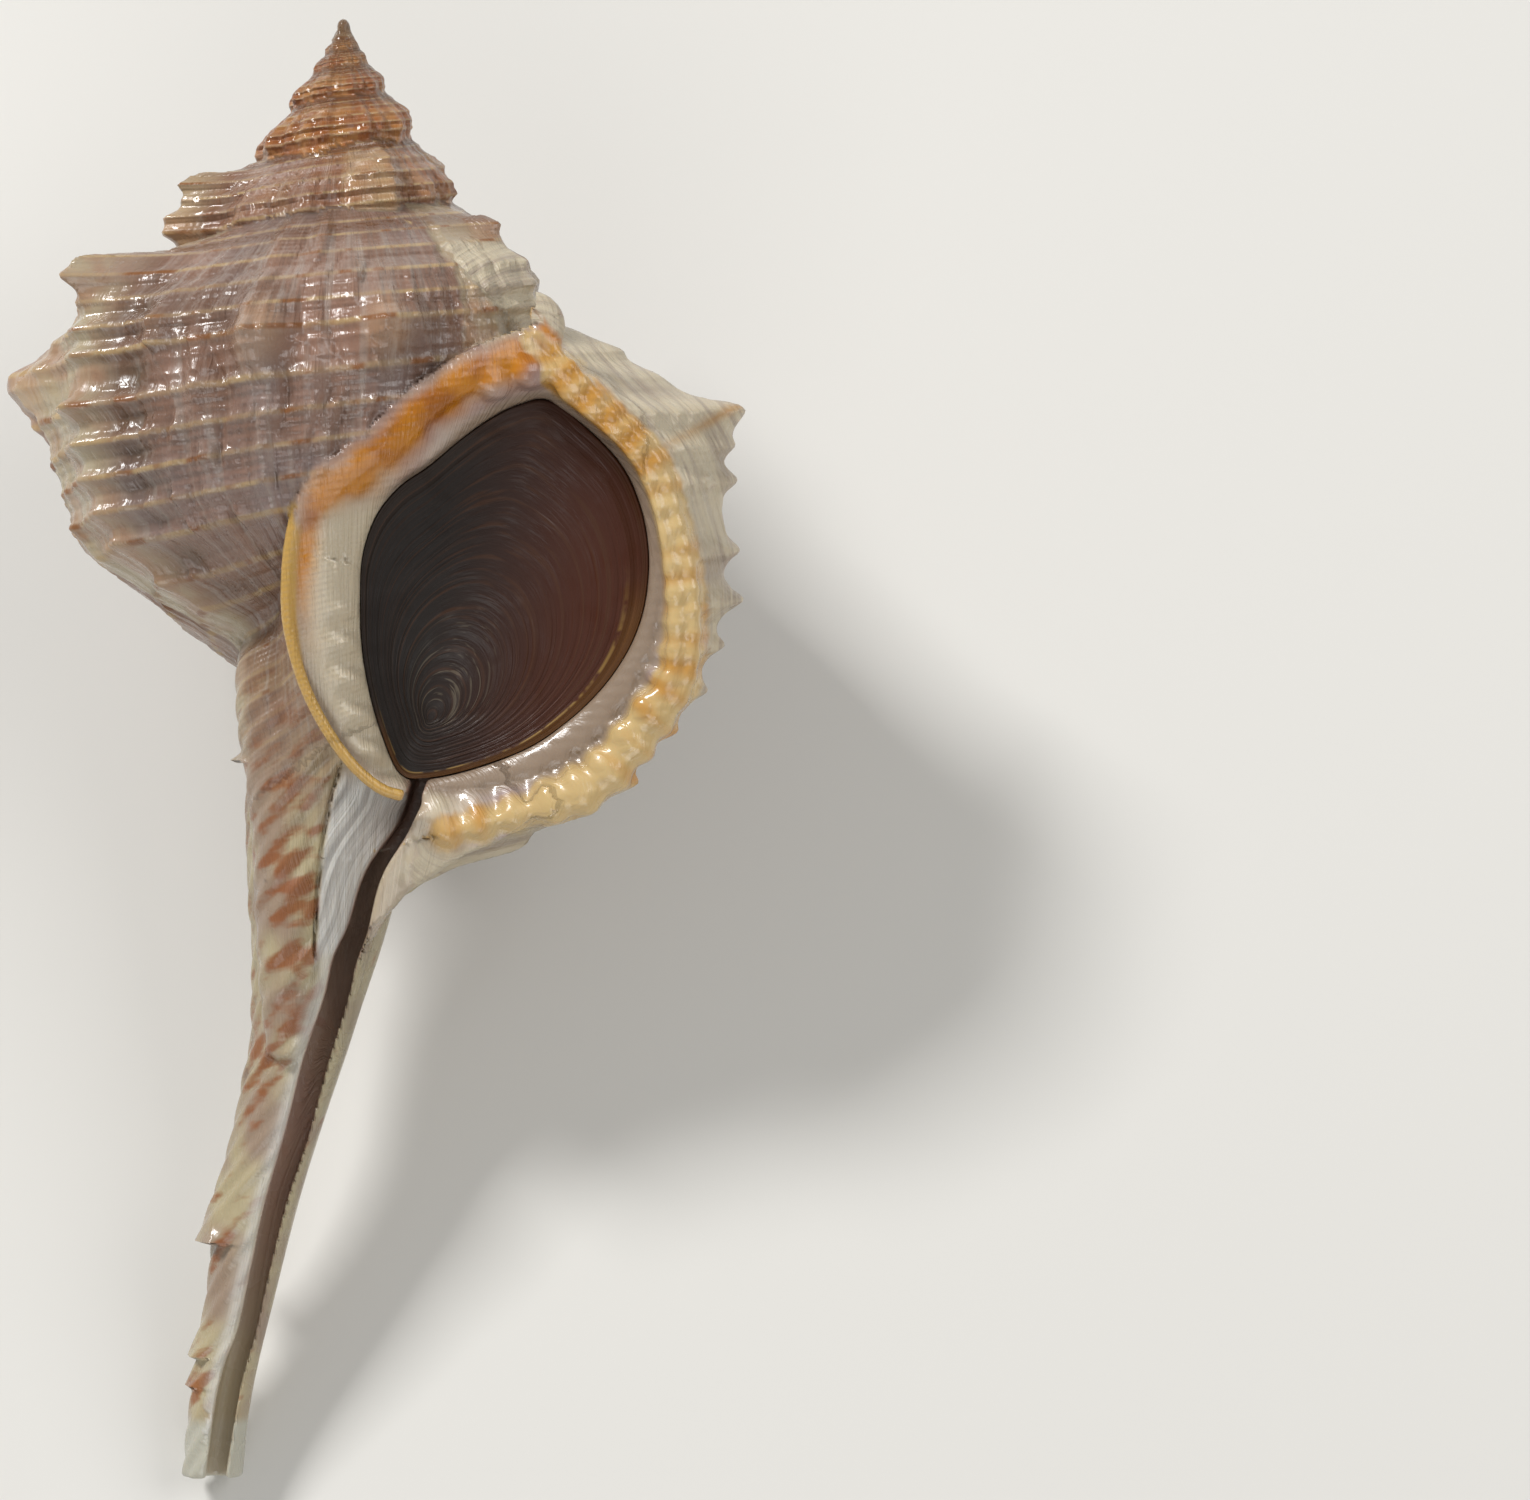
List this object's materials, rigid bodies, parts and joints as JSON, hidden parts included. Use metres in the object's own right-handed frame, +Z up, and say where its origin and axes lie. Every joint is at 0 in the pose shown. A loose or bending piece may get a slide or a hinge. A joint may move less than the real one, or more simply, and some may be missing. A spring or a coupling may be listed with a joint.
{
  "type": "murex shell",
  "caption": "Murex seashell lying on its back: spired, spined and corded whorls, beaded mouth closed by a dark horny lid, and a long open canal.",
  "frame": {"origin": "centre of the bounding box in plan, at the surface the shell lies on", "axes": "+Y along the length towards the spire, canal at -Y; +X towards the outer lip; +Z up, the side of the mouth"},
  "size_m": [0.0455, 0.0844, 0.0365],
  "materials": {
    "shell": "glossy cream and mauve-brown aragonite",
    "operculum": "satin dark brown horn"
  },
  "bodies": {
    "root": {"shell": "shell", "operculum": "operculum"}
  },
  "joints": []
}
